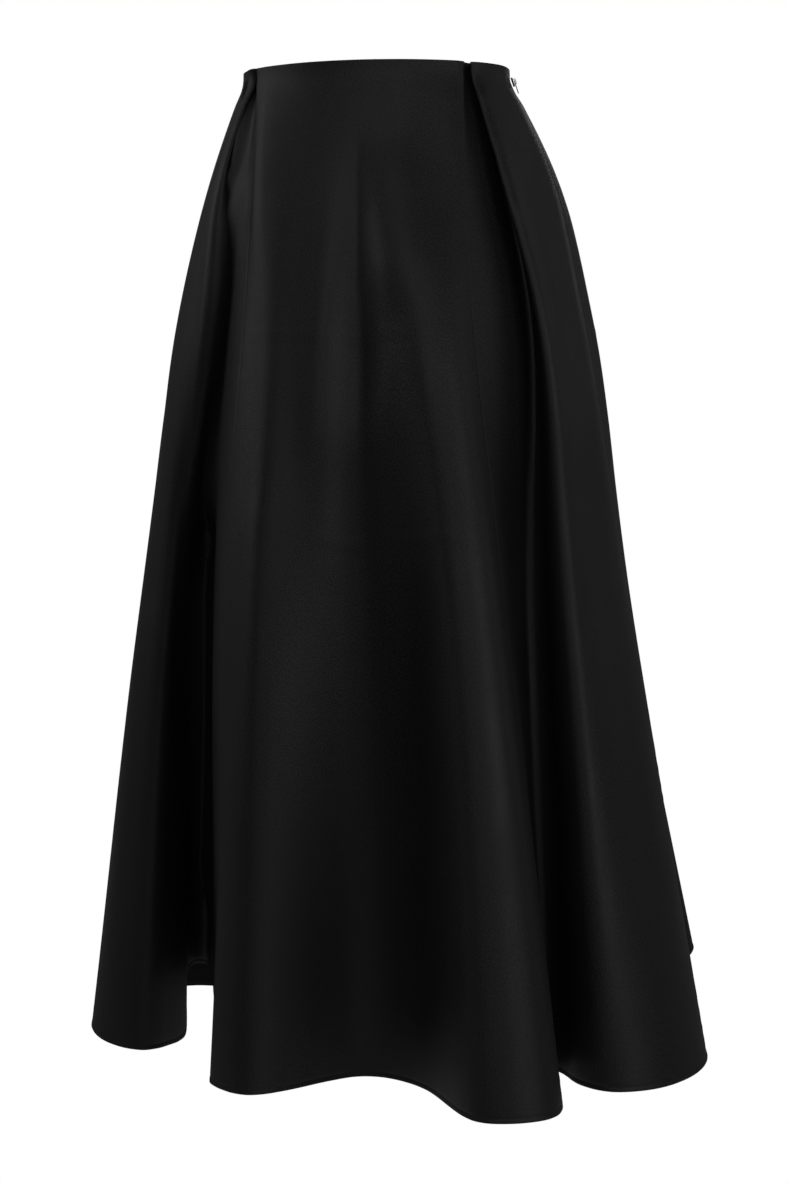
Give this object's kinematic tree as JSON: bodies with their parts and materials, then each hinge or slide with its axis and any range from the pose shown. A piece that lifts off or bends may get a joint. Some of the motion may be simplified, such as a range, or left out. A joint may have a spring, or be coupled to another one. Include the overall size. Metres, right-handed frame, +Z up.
{
  "type": "pleated midi skirt",
  "caption": "Full black satin midi skirt, filled out and hollow, with knife pleats let into the waist edge, soft flutes that widen to the hem, and a concealed side zip.",
  "frame": {"origin": "on the skirt's upright axis at the waistline that holds it up, 10 mm below the finished top edge", "axes": "+Z up towards the waist, -Y to the skirt's front, +X to the wearer's left"},
  "size_m": [0.5961, 0.5054, 0.906],
  "materials": {
    "satin": "black satin with a soft sheen and a fine twill-like grain",
    "zip_tape": "matt black woven tape",
    "zip_metal": "black enamel, worn bright at its edges"
  },
  "bodies": {
    "skirt": {"centre_front": "satin", "side_front_left": "satin", "side_front_right": "satin", "side_back_left": "satin", "side_back_right": "satin", "centre_back": "satin", "zip_tape": "zip_tape", "zip_slider": "zip_metal"},
    "zip_pull": {"zip_pull": "zip_metal"}
  },
  "joints": [
    {"name": "zip_pull_swing", "type": "hinge", "parent": "skirt", "child": "zip_pull", "pos_m": [0.12524, 0.00284, 0.00015], "axis": [0.1113, -0.9862, -0.1228], "range_deg": [0, 150]}
  ]
}
